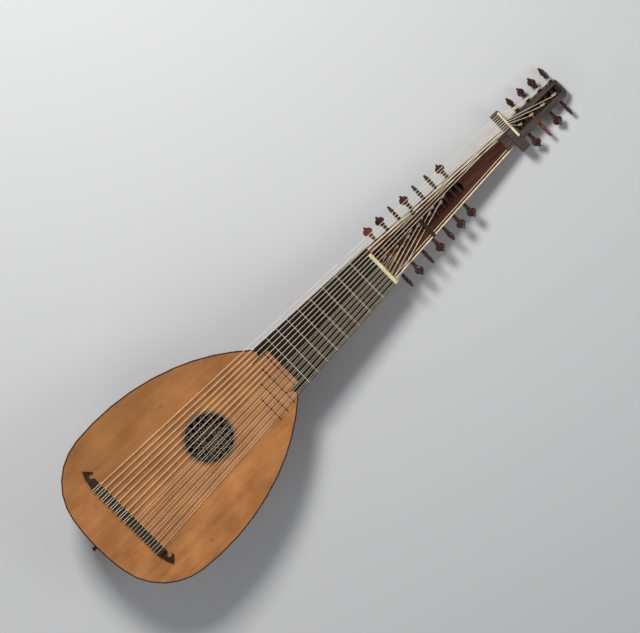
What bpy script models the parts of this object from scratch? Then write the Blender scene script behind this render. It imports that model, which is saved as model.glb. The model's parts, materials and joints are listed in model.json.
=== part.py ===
"""A theorboed lute: ribbed bowl, carved soundboard, fretted neck and two pegboxes.

The lute is modelled in its own frame, in metres: X across (treble side +), Y from the
tail towards the pegboxes, Z out of the soundboard, whose top face is z = 0. Every object
hangs on one empty, and lay_on_back turns that empty so that the lute rests on its back.
"""

import bpy
import bmesh
from math import acos, atan2, cos, dist, hypot, pi, sin, sqrt
from mathutils import Matrix, Vector

GAP = 0.0003

# Body
BODY_LENGTH = 0.493
HALF_WIDTH = 0.183
BODY_DEPTH = 0.156
TAIL_RADIUS = 0.450
CORNER_RADIUS = 0.130
FLANK_RADIUS = 0.500
FLANK_Y = 0.175
SHOULDER_RADIUS = 0.430
SHOULDER_Y = 0.355
RIBS = 11
RIB_WALL = 0.0022
BOARD_THICK = 0.0018
BINDING_WIDTH = 0.0022
RIM_Z = -BOARD_THICK - GAP

# Rose and bars
ROSE_Y = 0.309
ROSE_PETALS = 8
ROSE_LOZENGES = 16
ROSE_RINGS = 5
ROSE_INNER = 0.0122
ROSE_GROWTH = 1.268
ROSE_BAND = 0.0022
BAR_YS = (0.150, 0.205, 0.246, 0.370, 0.410)
BAR_WIDTH = 0.005
BAR_HEIGHT = 0.013

# Strings and frets
STRING_LENGTH = 0.700
BRIDGE_Y = 0.0853
NUT_Y = BRIDGE_Y + STRING_LENGTH
GUT_DIAMETER = 0.0008
BASS_DIAMETER = 0.0013
COURSES = 6
BASSES = 8
COURSE_BRIDGE_X = 0.0147
COURSE_BRIDGE_STEP = 0.01426
COURSE_NUT_X = -0.0068
COURSE_NUT_STEP = 0.0087
PAIR_AT_BRIDGE = 0.0050
PAIR_AT_NUT = 0.0030
BASS_BRIDGE_X = -0.0862
BASS_BRIDGE_STEP = 0.01231
BASS_NUT_X = -0.0596
BASS_NUT_STEP = 0.00463
TIED_FRETS = 8
FRET_DIAMETER = 0.0010
FRET_PLAY = 0.0006
BODY_FRET_SPANS = ((-0.0430, 0.0430), (-0.0258, 0.0685), (-0.0050, 0.0715), (0.0150, 0.0745))
BODY_FRET_WIDTH = 0.0018
BODY_FRET_HEIGHT = 0.0010

# Bridge
BRIDGE_HALF = 0.099
BRIDGE_REACH = 0.129
BRIDGE_WIDTH = 0.0180
BRIDGE_HEIGHT = 0.0084
WING_HEIGHT = 0.0042
HOLE_Z = 0.0056
HOLE_RADIUS = 0.0012

# Neck, fingerboard and nuts
NECK_LEFT = (-0.0645, -0.0536)
NECK_RIGHT = (0.0630, 0.0407)
NECK_DEPTH = (0.0440, 0.0380)
NECK_END = 0.7892
BLOCK_START = 0.452
BLOCK_CLEAR = 0.0016
TONGUE_Y = 0.511
TONGUE_HALF = 0.0440
POINT_Y = 0.489
NUT_WIDTH = 0.0076
NUT_LEFT = -0.0387
NUT_TOP = 0.0020
UPPER_NUT_Y = 1.158
UPPER_NUT_WIDTH = 0.0046
UPPER_NUT_TOP = 0.0092
UPPER_NUT_LEFT = -0.0625
UPPER_NUT_RIGHT = 0.0

# Extension with the main pegbox
EXT_START = NECK_END + GAP
EXT_END = 1.1427
EXT_LEFT = (-0.0476, -0.0268)
EXT_RIGHT = (0.0347, 0.0109)
EXT_TOP = -0.0075
EXT_BOTTOM = (-0.0380, -0.0320)
EXT_CHAMFER = 0.006
WELL_LEFT = (-0.0370, -0.0308)
WELL_RIGHT = (0.0218, 0.0199)
WELL_END = 0.866
SLOT_LEFT = -0.0208
SLOT_RIGHT = 0.0060
SLOT_END = 1.0118
WELL_DEPTH = 0.0225
BAR_Y = 0.903
BAR_ALONG = 0.0075
BAR_LIFT = 0.0033

# Upper pegbox
BASE_LEFT = -0.0630
BASE_RIGHT = 0.0300
BASE_START = EXT_END + GAP
BASE_END = 1.1620
BASE_TOP = 0.0045
BASE_BOTTOM = -0.0240
STEP_START = 1.1235
STEP_TOP = -0.0040
HEAD_END = 1.2870
HEAD_LEFT = (-0.0335, -0.0300)
HEAD_RIGHT = (0.0120, 0.0095)
HEAD_TOP = -0.0035
HEAD_BOTTOM = (-0.0315, -0.0290)
HEAD_WELL = (-0.0220, -0.0020)
HEAD_WELL_END = 1.2800

# Pegs
SHAFT_RADIUS = 0.0037
TIP_RADIUS = 0.0029
TIP_OUT = 0.0015
PEG_HEAD_RADIUS = 0.0102
PEG_FLAT = 0.36
HOLE_CLEAR = 0.0006
MAIN_PEG_DROP = 0.0078
HEAD_PEG_DROP = 0.0095
RIGHT_PEG_Y = 0.8040
RIGHT_PEG_STEP = 0.0306
LEFT_PEG_Y = 0.8140
LEFT_PEG_STEP = 0.0312
HEAD_RIGHT_PEG_Y = 1.1756
HEAD_RIGHT_PEG_STEP = 0.0296
HEAD_LEFT_PEG_Y = 1.1910
HEAD_LEFT_PEG_STEP = 0.0288
MAIN_PEGS_A_SIDE = 7
HEAD_PEGS_A_SIDE = 4
TURNS = 2
POINTS_A_TURN = 8
SHAFT_GAP = 0.00035
TURN_GAP = 0.0005

# Strap button
BUTTON_Z = -0.014
BUTTON_LENGTH = 0.0085
BUTTON_RADIUS = 0.0052

BALANCE_Y = 0.55


def clear_scene():
    for old in list(bpy.data.objects):
        bpy.data.objects.remove(old, do_unlink=True)


def new_collection(name):
    made = bpy.data.collections.new(name)
    bpy.context.scene.collection.children.link(made)
    return made


def material(name, color, roughness, metallic=0.0):
    made = bpy.data.materials.new(name)
    made.use_nodes = True
    shader = made.node_tree.nodes["Principled BSDF"]
    shader.inputs["Base Color"].default_value = (*color, 1.0)
    shader.inputs["Roughness"].default_value = roughness
    shader.inputs["Metallic"].default_value = metallic
    made.diffuse_color = (*color, 1.0)
    return made


clear_scene()
LUTE = new_collection("lute")
CUTTERS = new_collection("cutters")
REST = bpy.data.objects.new("lute_rest", None)
LUTE.objects.link(REST)

ROSEWOOD = material("rosewood_ribs", (0.060, 0.022, 0.012), 0.28)
SPRUCE = material("aged_spruce", (0.430, 0.190, 0.062), 0.45)
DARK_EDGE = material("dark_edge", (0.030, 0.014, 0.008), 0.4)
BRIDGE_WOOD = material("bridge_wood", (0.035, 0.024, 0.016), 0.45)
EBONY = material("ebony", (0.018, 0.014, 0.011), 0.35)
VENEER = material("neck_veneer", (0.070, 0.020, 0.010), 0.3)
IVORY = material("aged_bone", (0.86, 0.80, 0.52), 0.35)
GREY_WOOD = material("grey_brown_wood", (0.105, 0.082, 0.072), 0.5)
PEG_WOOD = material("peg_wood", (0.065, 0.028, 0.022), 0.3)
GUT = material("gut", (0.62, 0.52, 0.36), 0.4)


def mix(pair, share):
    return pair[0] + (pair[1] - pair[0]) * share


def share_of(y, start, end):
    return (y - start) / (end - start)


def finish(obj, finish_material, cutter=False):
    """Hang the object on the rest empty, in its collection and with its material."""
    (CUTTERS if cutter else LUTE).objects.link(obj)
    obj.parent = REST
    obj.hide_render = cutter
    if cutter:
        obj.display_type = "WIRE"
    else:
        obj.data.materials.clear()
        obj.data.materials.append(finish_material)
    return obj


def mesh_object(name, bm, finish_material=None, cutter=False):
    bmesh.ops.recalc_face_normals(bm, faces=bm.faces)
    mesh = bpy.data.meshes.new(name)
    bm.to_mesh(mesh)
    bm.free()
    return finish(bpy.data.objects.new(name, mesh), finish_material, cutter)


def loft(rings, closed=True, caps=True):
    """Skin a list of rings with equal point counts; closed rings may be capped."""
    bm = bmesh.new()
    rows = [[bm.verts.new(point) for point in ring] for ring in rings]
    for low, high in zip(rows, rows[1:]):
        count = len(low)
        for i in range(count if closed else count - 1):
            j = (i + 1) % count
            bm.faces.new((low[i], low[j], high[j], high[i]))
    if caps and closed:
        bm.faces.new(rows[0])
        bm.faces.new(rows[-1])
    return bm


def add_box(bm, low, high):
    """A box between two corners."""
    size = Vector(high) - Vector(low)
    middle = (Vector(high) + Vector(low)) / 2
    verts = bmesh.ops.create_cube(bm, size=1.0)["verts"]
    bmesh.ops.scale(bm, vec=size, verts=verts)
    bmesh.ops.translate(bm, vec=middle, verts=verts)


def box(name, low, high, finish_material=None, bevel=0.0, cutter=False):
    bm = bmesh.new()
    add_box(bm, low, high)
    obj = mesh_object(name, bm, finish_material, cutter)
    if bevel:
        edge = obj.modifiers.new("edges", "BEVEL")
        edge.width = bevel
        edge.segments = 1
    return obj


def boolean(obj, other, operation="DIFFERENCE"):
    step = obj.modifiers.new(other.name, "BOOLEAN")
    step.operation = operation
    step.object = other
    step.solver = "EXACT"


def curve_mesh(curve_object):
    """Turn a curve object into a mesh object of the same name, with its caps welded."""
    bpy.context.view_layer.update()
    graph = bpy.context.evaluated_depsgraph_get()
    mesh = bpy.data.meshes.new_from_object(curve_object.evaluated_get(graph))
    bm = bmesh.new()
    bm.from_mesh(mesh)
    bmesh.ops.remove_doubles(bm, verts=bm.verts, dist=1e-6)
    bmesh.ops.recalc_face_normals(bm, faces=bm.faces)
    bm.to_mesh(mesh)
    bm.free()
    name = curve_object.name
    bpy.data.objects.remove(curve_object)
    mesh.name = name
    made = bpy.data.objects.new(name, mesh)
    return made


def plate(name, outlines, low_z, high_z, finish_material=None, cutter=False):
    """A flat plate from closed outlines in plan; the outlines after the first are holes."""
    curve = bpy.data.curves.new(name, "CURVE")
    curve.dimensions = "2D"
    curve.fill_mode = "BOTH"
    curve.extrude = (high_z - low_z) / 2
    for outline in outlines:
        spline = curve.splines.new("POLY")
        spline.points.add(len(outline) - 1)
        for point, (x, y) in zip(spline.points, outline):
            point.co = (x, y, 0.0, 1.0)
        spline.use_cyclic_u = True
    flat = bpy.data.objects.new(name + "_curve", curve)
    LUTE.objects.link(flat)
    made = curve_mesh(flat)
    made.name = name
    for vert in made.data.vertices:
        vert.co.z += (high_z + low_z) / 2
    return finish(made, finish_material, cutter)


def tube(name, points, diameter, finish_material, cyclic=False, resolution=0):
    """A round cord along the points."""
    curve = bpy.data.curves.new(name, "CURVE")
    curve.dimensions = "3D"
    curve.bevel_depth = diameter / 2
    curve.bevel_resolution = resolution
    curve.use_fill_caps = not cyclic
    spline = curve.splines.new("POLY")
    spline.points.add(len(points) - 1)
    for point, place in zip(spline.points, points):
        point.co = (*place, 1.0)
    spline.use_cyclic_u = cyclic
    return finish(bpy.data.objects.new(name, curve), finish_material)


def arc(centre, radius, start, end, steps):
    """Points on an arc; the angle runs from straight down, anticlockwise."""
    angles = [start + (end - start) * i / steps for i in range(steps + 1)]
    return [(centre[0] + radius * sin(a), centre[1] - radius * cos(a)) for a in angles]


def body_arcs():
    """Centres and angles of the four tangent arcs of the body's half outline."""
    flank = (HALF_WIDTH - FLANK_RADIUS, FLANK_Y)
    to_tail = TAIL_RADIUS - CORNER_RADIUS
    to_flank = FLANK_RADIUS - CORNER_RADIUS
    dx, dy = flank[0], flank[1] - TAIL_RADIUS
    apart = hypot(dx, dy)
    along = (to_tail**2 - to_flank**2 + apart**2) / (2 * apart)
    across = sqrt(to_tail**2 - along**2)
    corner = (
        along * dx / apart - across * dy / apart,
        TAIL_RADIUS + along * dy / apart + across * dx / apart,
    )
    tail_angle = atan2(corner[0], TAIL_RADIUS - corner[1])
    flank_angle = atan2(corner[0] - flank[0], flank[1] - corner[1])
    shoulder_angle = acos(-(SHOULDER_Y - FLANK_Y) / FLANK_RADIUS)
    inward = FLANK_RADIUS - SHOULDER_RADIUS
    shoulder = (
        flank[0] + inward * sin(shoulder_angle),
        flank[1] - inward * cos(shoulder_angle),
    )
    return corner, flank, shoulder, tail_angle, flank_angle, shoulder_angle


def half_outline(inset=0.0, end_y=BODY_LENGTH):
    """The body's treble-side outline from the tail to the neck, moved in by inset."""
    corner, flank, shoulder, tail_angle, flank_angle, shoulder_angle = body_arcs()
    radius = SHOULDER_RADIUS - inset
    end_angle = acos(-(end_y - shoulder[1]) / radius)
    points = arc((0.0, TAIL_RADIUS), TAIL_RADIUS - inset, 0.0, tail_angle, 3)
    points += arc(corner, CORNER_RADIUS - inset, tail_angle, flank_angle, 6)[1:]
    points += arc(flank, FLANK_RADIUS - inset, flank_angle, shoulder_angle, 5)[1:]
    points += arc(shoulder, radius, shoulder_angle, end_angle, 4)[1:]
    return points


def half_width(y):
    """The body's half width at a place on its shoulder."""
    shoulder = body_arcs()[2]
    return shoulder[0] + sqrt(SHOULDER_RADIUS**2 - (y - shoulder[1]) ** 2)


def depth_ratio(y):
    """Depth of the bowl over its half width: rounder at the tail, flatter at the neck."""
    share = min(max(y / BODY_LENGTH, 0.0), 1.0)
    return mix((BODY_DEPTH / HALF_WIDTH, NECK_DEPTH[0] / NECK_RIGHT[0]), share**3)


def bowl():
    """Flat ribs that meet along seams, fanned out from the tail to the neck."""
    rise = 0.004
    rings = []
    for x, y in half_outline(end_y=BODY_LENGTH + 0.006)[1:]:
        depth = x * depth_ratio(y)
        ring = [(x, y, RIM_Z + rise)]
        for k in range(RIBS + 1):
            angle = pi * k / RIBS
            ring.append((x * cos(angle), y, RIM_Z - depth * sin(angle)))
        ring.append((-x, y, RIM_Z + rise))
        rings.append(ring)
    bm = loft(rings, closed=False)
    bm.verts.ensure_lookup_table()
    tail = bm.verts.new((0.0, 0.0, RIM_Z))
    high = bm.verts.new((0.0, 0.0, RIM_Z + rise))
    first = bm.verts[: RIBS + 3]
    for a, b in zip(first[1:-1], first[2:-1]):
        bm.faces.new((tail, b, a))
    bm.faces.new((tail, first[1], first[0], high))
    bm.faces.new((tail, high, first[-1], first[-2]))
    obj = mesh_object("bowl", bm, ROSEWOOD)
    shell = obj.modifiers.new("wall", "SOLIDIFY")
    shell.thickness = RIB_WALL
    shell.offset = -1.0
    reach = HALF_WIDTH + 0.05
    cut = bmesh.new()
    add_box(cut, (-reach, -0.05, RIM_Z), (reach, BODY_LENGTH + 0.05, RIM_Z + 0.05))
    boolean(obj, mesh_object("bowl_rim_cutter", cut, cutter=True))
    cut = bmesh.new()
    add_box(cut, (-reach, BODY_LENGTH, -BODY_DEPTH), (reach, BODY_LENGTH + 0.05, 0.02))
    boolean(obj, mesh_object("bowl_neck_cutter", cut, cutter=True))
    return obj


def both_sides(half):
    """A half outline and its mirror image as one run, treble side last."""
    return [(-x, y) for x, y in reversed(half[1:])] + half


def edge_binding():
    outer = both_sides(half_outline(0.0, POINT_Y - GAP))
    inner = both_sides(half_outline(BINDING_WIDTH, POINT_Y - GAP))
    rings = [
        [(xo, yo, -BOARD_THICK), (xo, yo, 0.0), (xi, yi, 0.0), (xi, yi, -BOARD_THICK)]
        for (xo, yo), (xi, yi) in zip(outer, inner)
    ]
    mesh_object("edge_binding", loft(rings), DARK_EDGE)


def board_points(clear):
    """The line where soundboard and fingerboard meet, treble side to bass side."""
    edge = NECK_RIGHT[0] - 0.0006
    thorn = 0.0012
    right = [
        (edge, POINT_Y - clear),
        (edge - 0.0065, POINT_Y + 0.0048 - clear),
        (TONGUE_HALF + 0.0046, POINT_Y + 0.0008 - clear),
        (TONGUE_HALF + thorn + clear, POINT_Y - 0.0095 - clear),
        (TONGUE_HALF - clear, POINT_Y - 0.0095 - clear),
        (TONGUE_HALF - clear, TONGUE_Y - clear),
    ]
    left = [(-x, y) for x, y in reversed(right)]
    left[1] = (left[1][0], left[1][1] - 0.009)
    left[2] = (left[2][0], left[2][1] - 0.009)
    return right + left


def rose_openings():
    """Openings of the carved rose: petals round the middle, then rings of lozenges.

    Each ring's lozenges stand between those of the next, so the wood left between them
    crosses in two families of spirals, as the bands of an interlaced rose do.
    """
    holes = []

    def polar(radius, angle):
        return (radius * cos(angle), ROSE_Y + radius * sin(angle))

    for i in range(ROSE_PETALS):
        angle = 2 * pi * (i + 0.5) / ROSE_PETALS
        near, wide, far = 0.0042, 0.0080, ROSE_INNER - ROSE_BAND * 0.5
        spread = pi / ROSE_PETALS - ROSE_BAND / (2 * wide)
        holes.append(
            [
                polar(near, angle),
                polar(wide, angle - spread),
                polar(far, angle),
                polar(wide, angle + spread),
            ]
        )
    for ring in range(1, ROSE_RINGS + 1):
        radii = [ROSE_INNER * ROSE_GROWTH ** (ring + k) for k in (-1, 0, 1)]
        spread = pi / ROSE_LOZENGES - ROSE_BAND * 0.75 / radii[1]
        for i in range(ROSE_LOZENGES):
            angle = 2 * pi * (i + (ring % 2) / 2) / ROSE_LOZENGES
            holes.append(
                [
                    polar(radii[0] + ROSE_BAND * 0.7, angle),
                    polar(radii[1], angle - spread),
                    polar(radii[2] - ROSE_BAND * 0.7, angle),
                    polar(radii[1], angle + spread),
                ]
            )
    return holes


def soundboard():
    half = half_outline(BINDING_WIDTH + GAP, POINT_Y - GAP)
    left = [(-x, y) for x, y in reversed(half[1:])]
    outline = half + board_points(GAP) + left
    obj = plate("soundboard", [outline] + rose_openings(), -BOARD_THICK, 0.0, SPRUCE)
    bars = bmesh.new()
    widths = half_outline(RIB_WALL + 0.006)
    for y in BAR_YS:
        reach = min(x for x, at in widths if abs(at - y) < 0.06)
        low = (-reach, y - BAR_WIDTH / 2, -BOARD_THICK - BAR_HEIGHT)
        add_box(bars, low, (reach, y + BAR_WIDTH / 2, -BOARD_THICK / 2))
    boolean(obj, mesh_object("bars_joined", bars, cutter=True), "UNION")
    return obj


def course_strings():
    """(x at the bridge, x at the nut) of each fingered string, bass to treble."""
    places = []
    for i in range(COURSES):
        bridge = COURSE_BRIDGE_X + COURSE_BRIDGE_STEP * i
        nut = COURSE_NUT_X + COURSE_NUT_STEP * i
        for side in (-0.5, 0.5):
            places.append((bridge + side * PAIR_AT_BRIDGE, nut + side * PAIR_AT_NUT))
    return places


def bass_strings():
    """(x at the bridge, x at the upper nut) of each bass string, outermost first."""
    return [
        (BASS_BRIDGE_X + BASS_BRIDGE_STEP * i, BASS_NUT_X + BASS_NUT_STEP * i)
        for i in range(BASSES)
    ]


def bridge():
    """A bar with low wings that end in hooks, drilled for every string."""
    back = BRIDGE_Y - BRIDGE_WIDTH / 2
    front = BRIDGE_Y + BRIDGE_WIDTH / 2
    half = [
        (0.0, back),
        (BRIDGE_HALF, back + 0.001),
        (0.114, back + 0.003),
        (BRIDGE_REACH, back + 0.0095),
        (0.1235, front - 0.0030),
        (0.1150, front + 0.0050),
        (0.1120, front + 0.0052),
        (0.1160, front - 0.0030),
        (0.1120, front - 0.0075),
        (0.1060, front - 0.0060),
        (0.1020, front),
        (0.0, front),
    ]
    outline = half + [(-x, y) for x, y in reversed(half[1:-1])]
    obj = plate("bridge", [outline], GAP, WING_HEIGHT, BRIDGE_WOOD)
    step = bmesh.new()
    low = (-BRIDGE_HALF, back + 0.0004, GAP + 0.001)
    add_box(step, low, (BRIDGE_HALF, front - 0.0004, BRIDGE_HEIGHT))
    boolean(obj, mesh_object("bridge_bar", step, cutter=True), "UNION")
    holes = bmesh.new()
    for x, _ in course_strings() + bass_strings():
        drill(holes, (x, BRIDGE_Y, HOLE_Z), HOLE_RADIUS, HOLE_RADIUS, BRIDGE_WIDTH + 0.01, "Y", 6)
    boolean(obj, mesh_object("bridge_drill", holes, cutter=True))
    return obj


def drill(bm, middle, radius, far_radius, length, axis, sides):
    """A round cutter centred on middle; radius is at its low end, far_radius at its high."""
    made = bmesh.ops.create_cone(
        bm,
        cap_ends=True,
        segments=sides,
        radius1=radius,
        radius2=far_radius,
        depth=length,
    )
    turn = Matrix.Rotation(pi / 2, 4, "Y") if axis == "X" else Matrix.Rotation(-pi / 2, 4, "X")
    bmesh.ops.rotate(bm, verts=made["verts"], matrix=turn)
    bmesh.ops.translate(bm, verts=made["verts"], vec=middle)


def fret_y(number):
    """Equal-tempered fret place."""
    return BRIDGE_Y + STRING_LENGTH * 2 ** (-number / 12)


def body_frets():
    for i, (left, right) in enumerate(BODY_FRET_SPANS):
        y = fret_y(TIED_FRETS + 1 + i)
        low = (left, y - BODY_FRET_WIDTH / 2, GAP)
        high = (right, y + BODY_FRET_WIDTH / 2, GAP + BODY_FRET_HEIGHT)
        box(f"body_fret_{TIED_FRETS + 1 + i}", low, high, EBONY, bevel=0.0003)


def neck_edges(y):
    share = share_of(y, BODY_LENGTH, NECK_END)
    return mix(NECK_LEFT, share), mix(NECK_RIGHT, share), mix(NECK_DEPTH, share)


def d_section(left, right, depth, y, top, steps=10):
    """A flat top edge over a half ellipse."""
    middle = (left + right) / 2
    half = (right - left) / 2
    angles = [pi * i / steps for i in range(steps + 1)]
    return [(middle + half * cos(a), y, top - (depth + top) * sin(a)) for a in angles]


def neck():
    """The neck with the block that it is fixed to inside the bowl."""
    rings = []
    inner = RIB_WALL + BLOCK_CLEAR
    for y in (BLOCK_START, BODY_LENGTH + GAP):
        wide = half_width(y) - inner
        deep = half_width(y) * depth_ratio(y) - inner
        rings.append(d_section(-wide, wide, deep, y, RIM_Z))
    for y in (BODY_LENGTH + GAP, (BODY_LENGTH + NECK_END) / 2, NECK_END):
        rings.append(d_section(*neck_edges(y), y, RIM_Z))
    mesh_object("neck", loft(rings), VENEER)


def fingerboard():
    end = NUT_Y - NUT_WIDTH / 2 - GAP
    right = neck_edges(end)[1] - 0.0006
    left = neck_edges(end)[0] + 0.0006
    outline = [(right, end)] + board_points(0.0) + [(left, end)]
    plate("fingerboard", [outline], -BOARD_THICK, 0.0, EBONY)


def main_nut():
    low = (NUT_LEFT, NUT_Y - NUT_WIDTH / 2, RIM_Z + GAP)
    high = (neck_edges(NUT_Y)[1], NUT_Y + NUT_WIDTH / 2, NUT_TOP)
    box("main_nut", low, high, IVORY, bevel=0.0008)


def tied_frets():
    """A loop of gut round neck and fingerboard at each fret, free to slide a little."""
    for i in range(TIED_FRETS):
        y = fret_y(i + 1)
        left, right, depth = neck_edges(y)
        out = FRET_PLAY + FRET_DIAMETER / 2
        ring = d_section(left - out, right + out, depth + out, 0.0, RIM_Z)
        top = FRET_PLAY / 2 + FRET_DIAMETER / 2
        loop = [(x, 0.0, z) for x, _, z in ring]
        loop += [(left - out, 0.0, top - 0.0004), (left, 0.0, top)]
        loop += [(right, 0.0, top), (right + out, 0.0, top - 0.0004)]
        obj = tube(f"tied_fret_{i + 1}", loop, FRET_DIAMETER, GUT, cyclic=True)
        obj.location = (0.0, y, 0.0)


def ext_edges(y):
    share = share_of(y, EXT_START, EXT_END)
    return mix(EXT_LEFT, share), mix(EXT_RIGHT, share), mix(EXT_BOTTOM, share)


def head_edges(y):
    share = share_of(y, BASE_END, HEAD_END)
    return mix(HEAD_LEFT, share), mix(HEAD_RIGHT, share), mix(HEAD_BOTTOM, share)


def trough_section(left, right, bottom, top, y, chamfer):
    return [
        (left, y, top),
        (right, y, top),
        (right, y, bottom + chamfer),
        (right - chamfer, y, bottom),
        (left + chamfer, y, bottom),
        (left, y, bottom + chamfer),
    ]


def extension():
    """The neck's extension, hollowed as a well behind the nut and a slot beyond it."""
    rings = []
    for y in (EXT_START, EXT_END):
        left, right, bottom = ext_edges(y)
        rings.append(trough_section(left, right, bottom, EXT_TOP, y, EXT_CHAMFER))
    obj = mesh_object("extension", loft(rings), VENEER)
    floor = EXT_TOP - WELL_DEPTH
    turn = 0.010
    radius = (SLOT_RIGHT - SLOT_LEFT) / 2
    middle = (SLOT_RIGHT + SLOT_LEFT) / 2
    outline = [(WELL_LEFT[0], EXT_START - 0.01), (WELL_RIGHT[0], EXT_START - 0.01)]
    outline += [(WELL_RIGHT[1], WELL_END - turn)]
    outline += [(WELL_RIGHT[1] - turn * 0.4, WELL_END - turn * 0.25)]
    outline += [(SLOT_RIGHT, WELL_END)]
    round_end = arc((middle, SLOT_END - radius), radius, pi / 2, 3 * pi / 2, 6)
    outline += round_end + [(SLOT_LEFT, WELL_END), (WELL_LEFT[1], WELL_END)]
    boolean(obj, plate("well_cutter", [outline], floor, EXT_TOP + 0.01, cutter=True))
    holes = bmesh.new()
    for spot in main_pegs():
        peg_holes(holes, *spot)
    boolean(obj, mesh_object("extension_reamer", holes, cutter=True))
    return obj


def crossbar():
    """A low bridge over the pegbox; its feet stand on the two walls."""
    left, right, _ = ext_edges(BAR_Y)
    foot = EXT_TOP + GAP
    under = foot + BAR_LIFT
    top = under + 0.0032
    inset = 0.0115
    profile = [
        (left, foot),
        (left + inset, foot),
        (left + inset + 0.002, under),
        (right - inset - 0.002, under),
        (right - inset, foot),
        (right, foot),
        (right, top - 0.0010),
        (right - 0.0012, top),
        (left + 0.0012, top),
        (left, top - 0.0010),
    ]
    rings = [
        [(x, BAR_Y + side * BAR_ALONG / 2, z) for x, z in profile] for side in (-1, 1)
    ]
    mesh_object("crossbar", loft(rings), DARK_EDGE)


def upper_pegbox():
    """The second pegbox on its base block, whose front step lies on the extension."""
    rings = []
    for y in (BASE_END - 0.004, HEAD_END - 0.012, HEAD_END):
        left, right, bottom = head_edges(y)
        end = 0.004 if y == HEAD_END else 0.0
        rings.append(trough_section(left + end, right - end, bottom, HEAD_TOP - end, y, 0.004))
    obj = mesh_object("upper_pegbox", loft(rings), GREY_WOOD)
    base = bmesh.new()
    low = (BASE_LEFT, BASE_START, BASE_BOTTOM)
    add_box(base, low, (BASE_RIGHT, BASE_END, BASE_TOP))
    boolean(obj, mesh_object("base_block", base, cutter=True), "UNION")
    step = bmesh.new()
    left, right, _ = ext_edges(STEP_START)
    low = (left + 0.004, STEP_START, EXT_TOP + GAP)
    add_box(step, low, (right - 0.004, BASE_START + 0.002, STEP_TOP))
    boolean(obj, mesh_object("base_step", step, cutter=True), "UNION")
    well = (HEAD_WELL[0], BASE_END + 0.004, HEAD_TOP - WELL_DEPTH + 0.003)
    end = (HEAD_WELL[1], HEAD_WELL_END, HEAD_TOP + 0.02)
    boolean(obj, box("head_well_cutter", well, end, cutter=True))
    holes = bmesh.new()
    for spot in head_pegs():
        peg_holes(holes, *spot)
    boolean(obj, mesh_object("head_reamer", holes, cutter=True))
    return obj


def upper_nut():
    low = (UPPER_NUT_LEFT, UPPER_NUT_Y - UPPER_NUT_WIDTH / 2, BASE_TOP + GAP)
    high = (UPPER_NUT_RIGHT, UPPER_NUT_Y + UPPER_NUT_WIDTH / 2, UPPER_NUT_TOP)
    box("upper_nut", low, high, IVORY, bevel=0.0007)


def main_pegs():
    """(side, wall x, far wall x, y, z) of each main peg, nearest the nut first."""
    spots = []
    for i in range(MAIN_PEGS_A_SIDE):
        for side in (1, -1):
            start = RIGHT_PEG_Y if side > 0 else LEFT_PEG_Y
            pitch = RIGHT_PEG_STEP if side > 0 else LEFT_PEG_STEP
            y = start + pitch * i
            left, right, _ = ext_edges(y)
            near, far = (right, left) if side > 0 else (left, right)
            spots.append((side, near, far, y, EXT_TOP - MAIN_PEG_DROP))
    return spots


def head_pegs():
    """The same for the upper pegbox."""
    spots = []
    for i in range(HEAD_PEGS_A_SIDE):
        for side in (1, -1):
            start = HEAD_RIGHT_PEG_Y if side > 0 else HEAD_LEFT_PEG_Y
            pitch = HEAD_RIGHT_PEG_STEP if side > 0 else HEAD_LEFT_PEG_STEP
            y = start + pitch * i
            left, right, _ = head_edges(y)
            near, far = (right, left) if side > 0 else (left, right)
            spots.append((side, near, far, y, HEAD_TOP - HEAD_PEG_DROP))
    return spots


def peg_holes(bm, side, near, far, y, z):
    """One tapered reamer through both walls, a little wider than the peg's shaft."""
    length = abs(near - far) + 0.006
    low, high = TIP_RADIUS + HOLE_CLEAR, SHAFT_RADIUS + HOLE_CLEAR
    if side < 0:
        low, high = high, low
    drill(bm, ((near + far) / 2, y, z), low, high, length, "X", 10)


def peg(name, side, near, far, y, z, turned):
    """A turned blank whose head is then cut flat, with a collar and a small end bead."""
    reach = abs(near - far) + TIP_OUT
    collar = 0.0125
    profile = [
        (-reach, 0.0),
        (-reach, TIP_RADIUS),
        (collar, SHAFT_RADIUS),
        (collar + 0.0008, 0.0052),
        (collar + 0.0026, 0.0050),
        (collar + 0.0040, 0.0034),
        (collar + 0.0068, PEG_HEAD_RADIUS * 0.80),
        (collar + 0.0118, PEG_HEAD_RADIUS),
        (collar + 0.0170, PEG_HEAD_RADIUS * 0.82),
        (collar + 0.0205, 0.0026),
        (collar + 0.0222, 0.0027),
        (collar + 0.0240, 0.0),
    ]
    sides = 8
    bm = bmesh.new()
    rows = [bm.verts.new((u, 0.0, r)) for u, r in profile]
    for low, high in zip(rows, rows[1:]):
        bm.edges.new((low, high))
    bmesh.ops.spin(
        bm,
        geom=bm.verts[:] + bm.edges[:],
        axis=(1.0, 0.0, 0.0),
        cent=(0.0, 0.0, 0.0),
        angle=2 * pi,
        steps=sides,
        use_merge=True,
    )
    bmesh.ops.remove_doubles(bm, verts=bm.verts, dist=1e-6)
    for vert in bm.verts:
        if collar + 0.0042 < vert.co.x < collar + 0.0200:
            vert.co.z *= PEG_FLAT
    if side < 0:
        bmesh.ops.rotate(bm, verts=bm.verts, matrix=HALF_TURN)
    obj = mesh_object(name, bm, PEG_WOOD)
    obj.location = (near, y, z)
    obj.rotation_euler = (turned, 0.0, 0.0)
    return obj


def winding(x, y, z, diameter, towards):
    """Turns of string round a peg's shaft, starting on its top and drifting along it."""
    shaft = SHAFT_RADIUS + SHAFT_GAP + diameter / 2
    radius = shaft / cos(pi / POINTS_A_TURN)
    pitch = diameter + TURN_GAP
    points = []
    for i in range(TURNS * POINTS_A_TURN + 1):
        angle = 2 * pi * i / POINTS_A_TURN
        drift = towards * pitch * i / POINTS_A_TURN
        points.append((x + drift, y + radius * sin(angle), z + radius * cos(angle)))
    return points


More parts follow.
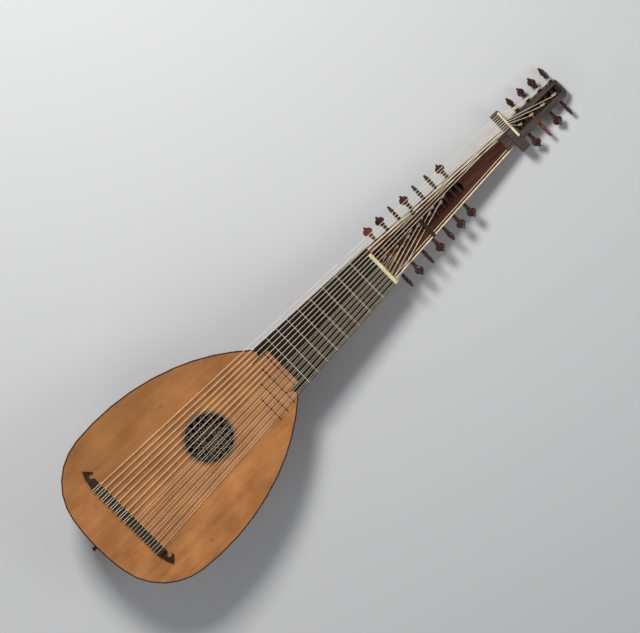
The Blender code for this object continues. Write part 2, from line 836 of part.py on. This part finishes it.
def least_gap(points, diameter):
    """Least gap of a winding to itself, over every two points half a turn or more apart."""
    return min(
        dist(one, other) - diameter
        for i, one in enumerate(points)
        for other in points[i + POINTS_A_TURN // 2 :]
    )


def tell_length(name, points):
    length = sum(dist(one, other) for one, other in zip(points, points[1:]))
    print(f"{name}: {length * 1000:.0f} mm of gut")


def tie_points(x, aside, diameter):
    """From the string's hole round the back of the bridge, over its top and down in front."""
    out = 0.0004 + diameter / 2
    back = BRIDGE_Y - BRIDGE_WIDTH / 2 - out
    front = BRIDGE_Y + BRIDGE_WIDTH / 2 + out
    top = BRIDGE_HEIGHT + out
    return [
        (x, front, HOLE_Z),
        (x, back, HOLE_Z),
        (x + aside, back, top),
        (x + aside, front, top),
        (x + aside * 0.8, front + 0.0006, HOLE_Z - 0.0024),
    ]


def course(name, first, second, spots, peg_xs):
    """One length of gut for both strings of a course, doubled round the bridge."""
    nut_z = NUT_TOP + GAP + GUT_DIAMETER / 2
    runs = []
    for (bridge_x, nut_x), spot, peg_x, aside in zip(
        (first, second), spots, peg_xs, (-0.0013, 0.0013)
    ):
        route = winding(peg_x, spot[3], spot[4], GUT_DIAMETER, 1)
        route.reverse()
        route.append((nut_x, NUT_Y + NUT_WIDTH / 2, nut_z))
        route.append((nut_x, NUT_Y - NUT_WIDTH / 2, nut_z))
        route += tie_points(bridge_x, aside, GUT_DIAMETER)
        runs.append(route)
    points = runs[0] + runs[1][::-1]
    tell_length(name, points)
    return tube(name, points, GUT_DIAMETER, GUT)


def bass(name, places, spot, peg_x, towards):
    """A single bass string with its own loop round the bridge."""
    bridge_x, nut_x = places
    nut_z = UPPER_NUT_TOP + GAP + BASS_DIAMETER / 2
    route = winding(peg_x, spot[3], spot[4], BASS_DIAMETER, towards)
    route.reverse()
    route.append((nut_x, UPPER_NUT_Y + UPPER_NUT_WIDTH / 2, nut_z))
    route.append((nut_x, UPPER_NUT_Y - UPPER_NUT_WIDTH / 2, nut_z))
    route += tie_points(bridge_x, -0.0024, BASS_DIAMETER)
    loop = tie_points(bridge_x, 0.0024, BASS_DIAMETER)[2:][::-1]
    tail = (bridge_x + 0.0042, loop[-1][1] - 0.0040, 0.0016)
    points = route + loop + [tail]
    tell_length(name, points)
    return tube(name, points, BASS_DIAMETER, GUT)


def button():
    """A turned strap button at the tail."""
    profile = [
        (0.0, 0.0),
        (BUTTON_RADIUS, 0.0),
        (BUTTON_RADIUS, 0.0012),
        (BUTTON_RADIUS * 0.55, 0.0032),
        (BUTTON_RADIUS * 0.60, 0.0050),
        (BUTTON_RADIUS * 0.95, 0.0066),
        (BUTTON_RADIUS * 0.80, BUTTON_LENGTH),
        (0.0, BUTTON_LENGTH),
    ]
    bm = bmesh.new()
    rows = [bm.verts.new((r, -u, 0.0)) for r, u in profile]
    for low, high in zip(rows, rows[1:]):
        bm.edges.new((low, high))
    bmesh.ops.spin(
        bm,
        geom=bm.verts[:] + bm.edges[:],
        axis=(0.0, 1.0, 0.0),
        cent=(0.0, 0.0, 0.0),
        angle=2 * pi,
        steps=14,
        use_merge=True,
    )
    bmesh.ops.remove_doubles(bm, verts=bm.verts, dist=1e-6)
    obj = mesh_object("strap_button", bm, EBONY)
    obj.location = (0.0, -GAP, BUTTON_Z)


def lay_on_back():
    """Turn the empty so that the bowl and the far end touch z = 0 and the box is centred."""
    bpy.context.view_layer.update()
    graph = bpy.context.evaluated_depsgraph_get()
    points = []
    for obj in LUTE.objects:
        if obj.type == "EMPTY":
            continue
        shown = obj.evaluated_get(graph)
        mesh = shown.to_mesh()
        points += [shown.matrix_world @ vert.co for vert in mesh.vertices]
        shown.to_mesh_clear()
    hull = []
    for y, z in sorted((point.y, point.z) for point in points):
        while len(hull) > 1:
            (y0, z0), (y1, z1) = hull[-2:]
            if (y1 - y0) * (z - z0) > (z1 - z0) * (y - y0):
                break
            hull.pop()
        hull.append((y, z))
    for (y0, z0), (y1, z1) in zip(hull, hull[1:]):
        if y0 <= BALANCE_Y <= y1:
            tilt = atan2(z1 - z0, y1 - y0)
    REST.rotation_euler = (-tilt, 0.0, 0.0)
    bpy.context.view_layer.update()
    turned = [REST.matrix_world @ point for point in points]
    low = Vector(min(p[i] for p in turned) for i in range(3))
    high = Vector(max(p[i] for p in turned) for i in range(3))
    REST.location = (-(low.x + high.x) / 2, -(low.y + high.y) / 2, -low.z)
    bpy.context.view_layer.update()


def build_strings():
    """Each string from its tie to its own peg; two main pegs carry none."""
    course_peg_xs = (-0.012, -0.006, -0.010, -0.004, -0.009, -0.014)
    course_peg_xs += (-0.010, -0.016, -0.012, -0.017, -0.012, -0.018)
    for diameter in (GUT_DIAMETER, BASS_DIAMETER):
        gap = least_gap(winding(0, 0, 0, diameter, 1), diameter)
        print(f"winding of {diameter * 1000:.2f} mm gut: least gap {gap * 1000:.2f} mm")
    spots = main_pegs()
    places = course_strings()
    for i in range(COURSES):
        pair = slice(2 * i, 2 * i + 2)
        course(f"course_{i + 1}", *places[pair], spots[pair], course_peg_xs[pair])
    outside = [spot for spot in head_pegs() if spot[0] < 0]
    inside = [spot for spot in head_pegs() if spot[0] > 0]
    wall = HEAD_LEFT[0] - 0.0014
    for i, places in enumerate(bass_strings()):
        if i < HEAD_PEGS_A_SIDE:
            peg_x = wall - 0.0022 * (HEAD_PEGS_A_SIDE - 1 - i)
            bass(f"bass_string_{i + 1}", places, outside[i], peg_x, -1)
        else:
            peg_x = -0.0060 - 0.0015 * (i - HEAD_PEGS_A_SIDE)
            bass(f"bass_string_{i + 1}", places, inside[BASSES - 1 - i], peg_x, -1)


def build():
    bowl()
    soundboard()
    edge_binding()
    bridge()
    body_frets()
    neck()
    fingerboard()
    main_nut()
    tied_frets()
    extension()
    crossbar()
    upper_pegbox()
    upper_nut()
    button()
    turns = (0.1, 1.45, 1.2, 1.5, 0.9, 0.2, 1.5, 1.5, 0.5, 0.1, 1.5, 0.3, 1.4, 1.5)
    for i, (spot, turned) in enumerate(zip(main_pegs(), turns)):
        side = "right" if spot[0] > 0 else "left"
        peg(f"main_peg_{side}_{i // 2 + 1}", *spot, turned)
    for i, spot in enumerate(head_pegs()):
        side = "right" if spot[0] > 0 else "left"
        peg(f"upper_peg_{side}_{i // 2 + 1}", *spot, 0.4 + 0.7 * i)
    build_strings()
    lay_on_back()


HALF_TURN = Matrix.Rotation(pi, 4, "Z")
build()
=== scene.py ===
# %% [markdown]
# A lute is light: thin wood, gut and a little bone. We load the built model, whose parts
# stay where they are, before anything is dressed.

# %% Load the frame
import json
import bmesh
import bpy
import numpy as np
from mathutils import Matrix, Vector


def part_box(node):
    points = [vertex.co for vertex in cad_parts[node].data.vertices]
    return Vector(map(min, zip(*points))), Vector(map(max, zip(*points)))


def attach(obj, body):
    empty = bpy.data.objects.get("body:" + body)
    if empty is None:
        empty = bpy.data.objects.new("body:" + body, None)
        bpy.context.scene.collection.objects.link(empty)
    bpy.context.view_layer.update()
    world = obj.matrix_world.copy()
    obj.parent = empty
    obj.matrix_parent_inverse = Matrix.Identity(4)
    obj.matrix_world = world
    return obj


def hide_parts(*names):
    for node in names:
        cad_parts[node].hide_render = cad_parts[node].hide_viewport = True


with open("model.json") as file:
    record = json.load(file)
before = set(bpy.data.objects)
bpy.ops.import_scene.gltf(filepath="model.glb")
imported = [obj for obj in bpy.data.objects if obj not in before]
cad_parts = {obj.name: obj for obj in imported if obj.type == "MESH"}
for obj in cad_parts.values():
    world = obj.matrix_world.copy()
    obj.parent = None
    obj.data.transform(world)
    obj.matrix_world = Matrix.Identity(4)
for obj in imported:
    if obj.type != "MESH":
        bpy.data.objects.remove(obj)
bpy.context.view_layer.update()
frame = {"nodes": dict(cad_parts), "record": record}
nodes = frame["nodes"]
record = frame["record"]
print(len(nodes), "nodes")

# %% [markdown]
# The lute lies on its back, so its own axes are turned a little from the world's. Its neck
# direction is the way a tied fret slides, and the strap button's end gives a fixed point.
# All new shapes are worked out in the lute's own axes and then carried over.

# %% The lute's own axes
joints = {joint["name"]: joint for joint in record["behaviour"]["joints"]}
along = Vector(joints["tied_fret_1_slide"]["axis"])
across = Vector((1.0, 0.0, 0.0))
out = across.cross(along)
BUTTON_END = Vector((0.0, -0.0088, -0.0140))
button_mount = [m for m in record["mounts"] if m["name"] == "strap_button_end"][0]
turn = Matrix((across, along, out)).transposed()
origin = Vector(button_mount["pos_m"]) - turn @ BUTTON_END
TURN = np.array(turn)
TILT = float(np.arctan2(along.z, along.y))
print("origin", origin, "tilt", TILT)


def to_world(points):
    """World place of points given in the lute's own axes: turned, then moved."""
    return points @ TURN.T + np.array(origin)


# %% [markdown]
# Shader maths reads best as ordinary expressions. A small class wraps a socket, so that
# 1 - mask or grain * 0.5 adds the Math nodes for us.

# %% Sockets as numbers
class Tree:
    """A material's nodes, with one method that adds any node."""

    def __init__(self, name, roughness, **fixed):
        self.material = bpy.data.materials.new(name)
        self.material.use_nodes = True
        self.nodes = self.material.node_tree.nodes
        self.links = self.material.node_tree.links
        self.shader = self.nodes["Principled BSDF"]
        self.shader.inputs["Roughness"].default_value = roughness
        for socket, value in fixed.items():
            self.shader.inputs[socket.replace("_", " ")].default_value = value

    def add(self, kind, settings=None, **inputs):
        node = self.nodes.new(kind)
        for key, value in (settings or {}).items():
            setattr(node, key, value)
        for key, value in inputs.items():
            key = int(key[1:]) if key[0] == "i" and key[1:].isdigit() else key.replace("_", " ")
            self.feed(node.inputs[key], value)
        return node

    def feed(self, socket, value):
        if isinstance(value, Number):
            self.links.new(value.socket, socket)
        elif hasattr(value, "is_output"):
            self.links.new(value, socket)
        else:
            socket.default_value = value

    def place(self):
        """Object coordinates turned into the lute's own axes."""
        coords = self.add("ShaderNodeTexCoord").outputs["Object"]
        moved = self.add("ShaderNodeMapping", {"vector_type": "TEXTURE"}, Vector=coords)
        moved.inputs["Location"].default_value = origin
        moved.inputs["Rotation"].default_value = (TILT, 0.0, 0.0)
        return moved.outputs["Vector"]

    def noise(self, stretch, scale=1.0, detail=4.0):
        """Noise between 0 and 1 whose features are drawn out by stretch on each axis."""
        scaled = self.add(
            "ShaderNodeVectorMath", {"operation": "MULTIPLY"}, i0=self.place(), i1=stretch
        )
        made = self.add("ShaderNodeTexNoise", Vector=scaled.outputs[0], Scale=scale, Detail=detail)
        return Number(self, made.outputs["Factor" if "Factor" in made.outputs else "Fac"])

    def blend(self, mask, low, high):
        """Colour that goes from low to high as mask goes from 0 to 1."""
        mixer = self.add("ShaderNodeMix", {"data_type": "RGBA"})
        self.feed(mixer.inputs[0], mask)
        self.feed(mixer.inputs[6], low if hasattr(low, "is_output") else (*low, 1.0))
        self.feed(mixer.inputs[7], high if hasattr(high, "is_output") else (*high, 1.0))
        return mixer.outputs[2]

    def finish(self, color, height=None, distance=0.0002, roughness=None):
        self.feed(self.shader.inputs["Base Color"], color)
        if roughness is not None:
            self.feed(self.shader.inputs["Roughness"], roughness)
        if height is not None:
            bump = self.add("ShaderNodeBump", Height=height, Distance=distance)
            self.links.new(bump.outputs["Normal"], self.shader.inputs["Normal"])
        return self.material


class Number:
    """A value socket that takes part in sums."""

    def __init__(self, tree, socket):
        self.tree = tree
        self.socket = socket

    def math(self, operation, *values, clamp=False):
        settings = {"operation": operation, "use_clamp": clamp}
        node = self.tree.add("ShaderNodeMath", settings)
        for slot, value in enumerate(values):
            self.tree.feed(node.inputs[slot], value)
        return Number(self.tree, node.outputs[0])

    def __add__(self, other):
        return self.math("ADD", self, other)

    def __mul__(self, other):
        return self.math("MULTIPLY", self, other)

    def __sub__(self, other):
        return self.math("SUBTRACT", self, other)

    def __rsub__(self, other):
        return self.math("SUBTRACT", other, self)

    __radd__ = __add__
    __rmul__ = __mul__

    def between(self, low, high):
        """0 below low, 1 above high, straight in between."""
        return self.math("MULTIPLY", self - low, 1.0 / (high - low), clamp=True)


# %% [markdown]
# Old spruce is orange-brown with fine straight grain along the strings. Hands and the air
# have darkened it beside the bridge and between the strings. The rose, cut from the board,
# is darker than the board round it, almost olive, with a soft dark edge. Under the rose the
# board is painted almost black: painted shade for the dark inside of the body behind it.

# %% Spruce soundboard
ROSE_Y = 0.309
ROSE_RADIUS = 0.0500


def spruce():
    tree = Tree("aged_spruce", 0.5, Specular_IOR_Level=0.3)
    fine = tree.noise((900.0, 14.0, 14.0), 1.0, 3.0)
    broad = tree.noise((60.0, 5.0, 5.0), 1.0, 3.0)
    patches = tree.noise((15.0, 11.0, 11.0), 1.0, 5.0)
    spots = tree.noise((38.0, 30.0, 30.0), 1.0, 6.0)
    tone = (fine * 0.30 + broad * 0.45 + patches * 0.90).between(0.62, 1.02)
    color = tree.blend(tone, (0.290, 0.105, 0.028), (0.560, 0.235, 0.075))
    axes = tree.add("ShaderNodeSeparateXYZ", Vector=tree.place())
    x = Number(tree, axes.outputs["X"])
    y = Number(tree, axes.outputs["Y"])
    color = tree.blend(x.between(0.04, -0.17) * 0.6, color, (0.230, 0.095, 0.026))
    color = tree.blend(spots.between(0.62, 0.74) * 0.5, color, (0.150, 0.060, 0.022))
    away = y - ROSE_Y
    squared = x * x + away * away
    radius = squared.math("SQRT", squared)
    halo = 1.0 - radius.between(ROSE_RADIUS - 0.001, ROSE_RADIUS + 0.009)
    color = tree.blend(halo * 0.6, color, (0.050, 0.026, 0.012))
    # Painted shade: the board under the rose is painted almost black, standing for the shadowed
    # inside of the body seen through the openings.
    painted_rose_shade = 1.0 - radius.between(ROSE_RADIUS - 0.0015, ROSE_RADIUS + 0.001)
    color = tree.blend(painted_rose_shade * 0.96, color, (0.012, 0.009, 0.006))
    return tree.finish(color, fine, 0.00006)


spruce_board = spruce()
nodes["soundboard"].data.materials.clear()
nodes["soundboard"].data.materials.append(spruce_board)
print("spruce made")

# %% [markdown]
# The other woods differ in colour, in how open their grain is, and in polish. One function
# makes them all, with the two colours that the grain runs between.


# %% Hard woods, bone and gut
def hardwood(name, dark, light, roughness, coat=0.0, stretch=(260.0, 16.0, 260.0)):
    tree = Tree(name, roughness, Coat_Weight=coat, Coat_Roughness=0.2, Specular_IOR_Level=0.25)
    grain = tree.noise(stretch, 1.0, 5.0)
    cloud = tree.noise((14.0, 9.0, 14.0), 1.0, 3.0)
    tone = (grain * 0.6 + cloud * 0.4).between(0.35, 0.68)
    rough = tone * 0.12 + (roughness - 0.06)
    return tree.finish(tree.blend(tone, dark, light), grain, 0.00012, rough)


def bone():
    tree = Tree("aged_bone", 0.34)
    tone = tree.noise((55.0, 140.0, 90.0), 1.0, 4.0).between(0.35, 0.7)
    return tree.finish(tree.blend(tone, (0.66, 0.55, 0.27), (0.90, 0.83, 0.52)), tone, 0.00005)


def gut():
    tree = Tree("gut", 0.36, Specular_IOR_Level=0.5)
    tone = tree.noise((120.0, 60.0, 120.0), 1.0, 2.0).between(0.3, 0.7)
    return tree.finish(tree.blend(tone, (0.66, 0.54, 0.35), (0.86, 0.78, 0.60)))


finishes = {
    "bowl": hardwood("rosewood", (0.020, 0.008, 0.005), (0.100, 0.036, 0.018), 0.25, 0.5),
    "edge_binding": hardwood("edge_wood", (0.018, 0.009, 0.005), (0.055, 0.026, 0.013), 0.4),
    "bridge": hardwood("bridge_wood", (0.010, 0.006, 0.004), (0.048, 0.028, 0.016), 0.5),
    "fingerboard": hardwood("ebony", (0.005, 0.004, 0.003), (0.022, 0.015, 0.011), 0.5),
    "neck": hardwood("veneer", (0.026, 0.007, 0.004), (0.100, 0.026, 0.011), 0.4, 0.1),
    "upper_pegbox": hardwood("grey_wood", (0.030, 0.021, 0.017), (0.105, 0.080, 0.066), 0.55),
    "peg": hardwood("peg_wood", (0.014, 0.006, 0.005), (0.085, 0.032, 0.022), 0.32, 0.2),
    "red_peg": hardwood("red_peg_wood", (0.090, 0.022, 0.014), (0.240, 0.066, 0.040), 0.28, 0.4),
    "main_nut": bone(),
    "gut": gut(),
}
likeness = {
    "strap_button": "fingerboard",
    "extension": "neck",
    "crossbar": "edge_binding",
    "upper_nut": "main_nut",
}


def finish_for(name):
    if name.startswith(("tied_fret", "course", "bass")):
        return finishes["gut"]
    if name.startswith("body_fret"):
        return finishes["fingerboard"]
    if "peg_" in name:
        return finishes["peg"]
    return finishes[likeness.get(name, name)]


for name, node in nodes.items():
    if name != "soundboard":
        node.data.materials.clear()
        node.data.materials.append(finish_for(name))
print(len(finishes), "finishes")

# %% [markdown]
# New pieces are grids of points. One helper turns a grid into a mesh object with smooth
# faces, and joins its ends where the grid closes on itself.


# %% Grids into meshes
SHARP_ANGLE = 0.7


def face_outwards(mesh):
    """Faces of closed pieces are turned to point outwards."""
    bm = bmesh.new()
    bm.from_mesh(mesh)
    bmesh.ops.recalc_face_normals(bm, faces=bm.faces)
    bm.to_mesh(mesh)
    bm.free()


def grid_piece(name, grids, body, finish, around=True):
    """A mesh from grids (rows, columns, 3); the columns close round when around is set."""
    verts, faces, start = [], [], 0
    for grid in grids:
        rows, columns = grid.shape[:2]
        index = np.arange(rows * columns).reshape(rows, columns) + start
        side = np.roll(index, -1, axis=1) if around else index[:, 1:]
        base = index if around else index[:, :-1]
        quads = np.stack([base[:-1], side[:-1], side[1:], base[1:]], -1).reshape(-1, 4)
        verts.append(to_world(grid.reshape(-1, 3)))
        faces += quads.tolist()
        if around:
            faces += [index[0, ::-1].tolist(), index[-1].tolist()]
        start += rows * columns
    mesh = bpy.data.meshes.new(name)
    mesh.from_pydata(np.concatenate(verts).tolist(), [], faces)
    mesh.update()
    mesh.shade_smooth()
    mesh.set_sharp_from_angle(angle=SHARP_ANGLE)
    piece = bpy.data.objects.new(name, mesh)
    bpy.context.scene.collection.objects.link(piece)
    piece.data.materials.append(finish)
    face_outwards(mesh)
    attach(piece, body)
    return piece


def ribbon(path, width, thick):
    """A flat strip with rounded edges carried along a path that lies near z = 0.

    Each cross-section is a squashed circle: width along the path's sideways normal,
    thickness along Z.
    """
    ahead = np.gradient(path, axis=0)
    sideways = np.stack([-ahead[:, 1], ahead[:, 0], np.zeros(len(path))], -1)
    sideways /= np.linalg.norm(sideways, axis=1, keepdims=True)
    angle = np.linspace(0.0, 2 * np.pi, 8, endpoint=False)
    wide = sideways[:, None] * np.cos(angle)[None, :, None] * width / 2
    high = np.array([0.0, 0.0, 1.0]) * np.sin(angle)[None, :, None] * thick / 2
    return path[:, None] + wide + high


# %% [markdown]
# A lute's rose is cut from the soundboard itself, as bands that seem to weave over and
# under. Two families of spirals cross at even steps, and each band rises and dips once
# per crossing. Their spirals grow at the same rate as the wood left between the openings of
# the model, but they lie a quarter of a spacing to one side of it.

# %% Rose
RINGS = 5.0
INNER = 0.0122
GROWTH = 1.268
BANDS = 16
BAND_WIDTH = 0.0010
BAND_THICK = 0.0007
RIM_WIDTH = 0.0012
RIM_THICK = 0.0009
RIM_RADII = (0.0100, ROSE_RADIUS - 0.0008)
RIM_HEIGHT = 0.0004
BORDER_TICKS = 60
BORDER_RADIUS = 0.0530


def spiral(start, hand):
    """One band: its radius grows by an even factor while its angle turns at a steady rate."""
    step = np.linspace(0.0, RINGS + 0.6, 60)
    radius = np.minimum(INNER * GROWTH**step, ROSE_RADIUS)
    angle = 2 * np.pi * start / BANDS + hand * np.pi / BANDS * (step - 0.5)
    lift = 0.00035 + 0.00040 * hand * np.cos(np.pi * (step - 0.5) + np.pi * start)
    return np.stack([radius * np.cos(angle), ROSE_Y + radius * np.sin(angle), lift], -1)


def ring(radius, height):
    angle = np.linspace(0.0, 2 * np.pi, 97)
    flat = np.full_like(angle, height)
    return np.stack([radius * np.cos(angle), ROSE_Y + radius * np.sin(angle), flat], -1)


rose_finish = hardwood("rose_wood", (0.110, 0.085, 0.050), (0.250, 0.200, 0.130), 0.6)
bands = [ribbon(spiral(i + 0.5, h), BAND_WIDTH, BAND_THICK) for i in range(BANDS) for h in (-1, 1)]
bands += [ribbon(ring(r, RIM_HEIGHT), RIM_WIDTH, RIM_THICK) for r in RIM_RADII]
grid_piece("rose_bands", bands, "root", rose_finish)
ticks = []
for a in np.linspace(0.0, 2 * np.pi, BORDER_TICKS, endpoint=False):
    reach = np.linspace(ROSE_RADIUS, BORDER_RADIUS, 4)[:, None]
    ray = np.array([[np.cos(a), np.sin(a), 0.0]]) * reach
    ticks.append(ribbon(ray + np.array([0.0, ROSE_Y, 0.0002]), 0.0014, BAND_THICK))
grid_piece("rose_border", ticks, "root", rose_finish)
print(len(bands), "bands in the rose")

# %% [markdown]
# The extension's face is edged with bone, with a thinner pale line further in. Thin strips
# are let into the veneer, standing just proud so that light catches them.

# %% Bone stringing
EXT_Y = np.array([0.7905, 1.1420])
EXT_LEFT = np.array([-0.0476, -0.0268])
EXT_RIGHT = np.array([0.0347, 0.0109])
EXT_TOP = -0.0075
FACE_END = 1.142
INNER_END = 1.122
OUTER_LINE = (0.0026, 0.0005)
INNER_LINE = (0.0012, 0.0004)


def line(side, inset, end):
    y = np.linspace(EXT_Y[0], end, 30)
    edge = np.interp(y, EXT_Y, side)
    return np.stack([edge + inset, y, np.full_like(y, EXT_TOP)], -1)


strips = [ribbon(line(EXT_LEFT, 0.0014, FACE_END), *OUTER_LINE)]
strips.append(ribbon(line(EXT_RIGHT, -0.0014, FACE_END), *OUTER_LINE))
strips.append(ribbon(line(EXT_LEFT, 0.0078, INNER_END), *INNER_LINE))
strips.append(ribbon(line(EXT_RIGHT, -0.0072, INNER_END), *INNER_LINE))
grid_piece("bone_stringing", strips, "root", finishes["main_nut"])
print("stringing laid")

# %% [markdown]
# Every peg is turned, and then its head is cut flat on both cheeks, so the fingers can
# grip it. The profile turns once round the peg's axis, and the head's points are squashed
# across. Each new peg takes the place of the peg in the model, and its head is turned about
# as the photograph shows it.

# %% Pegs
PEG_TURNS = (1.3, 0.2, 0.5, 0.2, 1.4, 1.4, 0.2, 0.3, 1.1, 1.4, 0.1, 1.3, 0.2, 0.2)
COLLAR = 0.0125
PROFILE = np.array(
    [
        (0.0004, 0.0036), (COLLAR - 0.004, 0.0036), (COLLAR - 0.002, 0.0040),
        (COLLAR - 0.001, 0.0037), (COLLAR, 0.0038), (COLLAR + 0.0006, 0.0048),
        (COLLAR + 0.0016, 0.0051), (COLLAR + 0.0027, 0.0047), (COLLAR + 0.0036, 0.0034),
        (COLLAR + 0.0048, 0.0046), (COLLAR + 0.0068, 0.0080), (COLLAR + 0.0092, 0.0097),
        (COLLAR + 0.0120, 0.0102), (COLLAR + 0.0150, 0.0094), (COLLAR + 0.0178, 0.0070),
        (COLLAR + 0.0198, 0.0036), (COLLAR + 0.0206, 0.0019), (COLLAR + 0.0212, 0.0018),
        (COLLAR + 0.0220, 0.0027), (COLLAR + 0.0231, 0.0025), (COLLAR + 0.0238, 0.0012),
        (COLLAR + 0.02400, 0.0002),
    ]
)
FLAT = 0.36
CHEEK_START = COLLAR + 0.0032
CHEEK_FADE = 0.004
FINIAL_START = COLLAR + 0.0195
SHAFT_RADIUS = 0.0028
TIP_RADIUS = 0.0004
HEAD_FIRST_TURN = 0.4
HEAD_TURN_STEP = 0.7
RED_PEGS = ("upper_peg_right_2", "main_peg_left_1")


def peg_surface(side, turned, reach):
    """The profile turned round X; past the collar, the Z radius shrinks to make cheeks."""
    shaft = np.array([(-reach, TIP_RADIUS), (-reach, SHAFT_RADIUS)])
    profile = np.concatenate([shaft, PROFILE])
    angle = np.linspace(0.0, 2 * np.pi, 28, endpoint=False)
    u, r = profile[:, 0:1], profile[:, 1:2]
    squash = 1.0 - (1.0 - FLAT) * np.clip((u - CHEEK_START) / CHEEK_FADE, 0.0, 1.0)
    squash = np.where(u > FINIAL_START, 1.0, squash)
    y, z = r * np.cos(angle), r * np.sin(angle) * squash
    x = np.broadcast_to(u * side, y.shape)
    y, z = y * side, z
    c, s = np.cos(turned), np.sin(turned)
    return np.stack([x, y * c - z * s, y * s + z * c], -1)


def turned_of(name, number):
    kind, side = name.split("_")[0], name.split("_")[2]
    i = 2 * (number - 1) + (side == "left")
    return PEG_TURNS[i] if kind == "main" else HEAD_FIRST_TURN + HEAD_TURN_STEP * i


def replace_peg(name):
    side = 1 if "right" in name else -1
    hinge = np.array(joints[name + "_turn"]["pos_m"])
    low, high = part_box(name)
    reach = hinge[0] - low[0] if side > 0 else high[0] - hinge[0]
    local = (hinge - np.array(origin)) @ TURN
    grid = peg_surface(side, turned_of(name, int(name[-1])), reach) + local
    finish = finishes["red_peg" if name in RED_PEGS else "peg"]
    piece = grid_piece(name + "_turned", [grid], name, finish)
    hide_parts(name)


pegs = [name for name in nodes if "peg_" in name]
for name in pegs:
    replace_peg(name)
print(len(pegs), "pegs turned")

# %% [markdown]
# The camera looks down on the lute from slightly to its bass side through a long lens,
# turned so that the neck runs to the upper right. Big soft lamps stand in for a studio.

# %% Camera, light and floor
VIEW_CENTRE = np.array([-0.0189, 0.6310, 0.0])
VIEW_WIDTH = 1.255
YAW = np.radians(9.0)
NECK_ANGLE = np.radians(44.0)
DISTANCE = 7.0
back = Vector((-np.sin(YAW), 0.0, np.cos(YAW)))
up = Vector((-np.cos(NECK_ANGLE), np.sin(NECK_ANGLE), 0.0))
up = (up - back * up.dot(back)).normalized()
right = up.cross(back)
camera = bpy.data.objects.new("camera", bpy.data.cameras.new("camera"))
bpy.context.scene.collection.objects.link(camera)
centre = Vector(to_world(VIEW_CENTRE[None])[0])
camera.matrix_world = Matrix.Translation(centre + (turn @ back) * DISTANCE) @ (
    turn @ Matrix((right, up, back)).transposed()
).to_4x4()
camera.data.lens = camera.data.sensor_width * DISTANCE / VIEW_WIDTH
camera.data.clip_end = 50.0
bpy.context.scene.camera = camera


def lamp(name, place, size, power):
    light = bpy.data.lights.new(name, "AREA")
    light.size = size
    light.energy = power
    made = bpy.data.objects.new(name, light)
    bpy.context.scene.collection.objects.link(made)
    made.location = place
    made.rotation_euler = (Vector((0, 0, 0.1)) - Vector(place)).to_track_quat("-Z", "Y").to_euler()


lamp("key", (-1.9, 0.5, 2.3), 0.7, 82.0)
lamp("fill", (1.6, 1.9, 2.4), 1.8, 20.0)
lamp("low", (0.4, -2.6, 1.2), 1.4, 14.0)
world = bpy.data.worlds.new("studio")
bpy.context.scene.world = world
world.use_nodes = True
world.node_tree.nodes["Background"].inputs["Color"].default_value = (0.9, 0.93, 1.0, 1.0)
world.node_tree.nodes["Background"].inputs["Strength"].default_value = 0.14

floor_mesh = bpy.data.meshes.new("floor")
REACH = 12.0
corners = [(-REACH, -REACH, 0), (REACH, -REACH, 0), (REACH, REACH, 0), (-REACH, REACH, 0)]
floor_mesh.from_pydata(corners, [], [(0, 1, 2, 3)])
floor = bpy.data.objects.new("floor", floor_mesh)
bpy.context.scene.collection.objects.link(floor)
paper = Tree("pale_floor", 0.8)
floor_mesh.materials.append(paper.finish((0.62, 0.62, 0.62, 1.0)))
bpy.context.scene.view_settings.view_transform = "Standard"
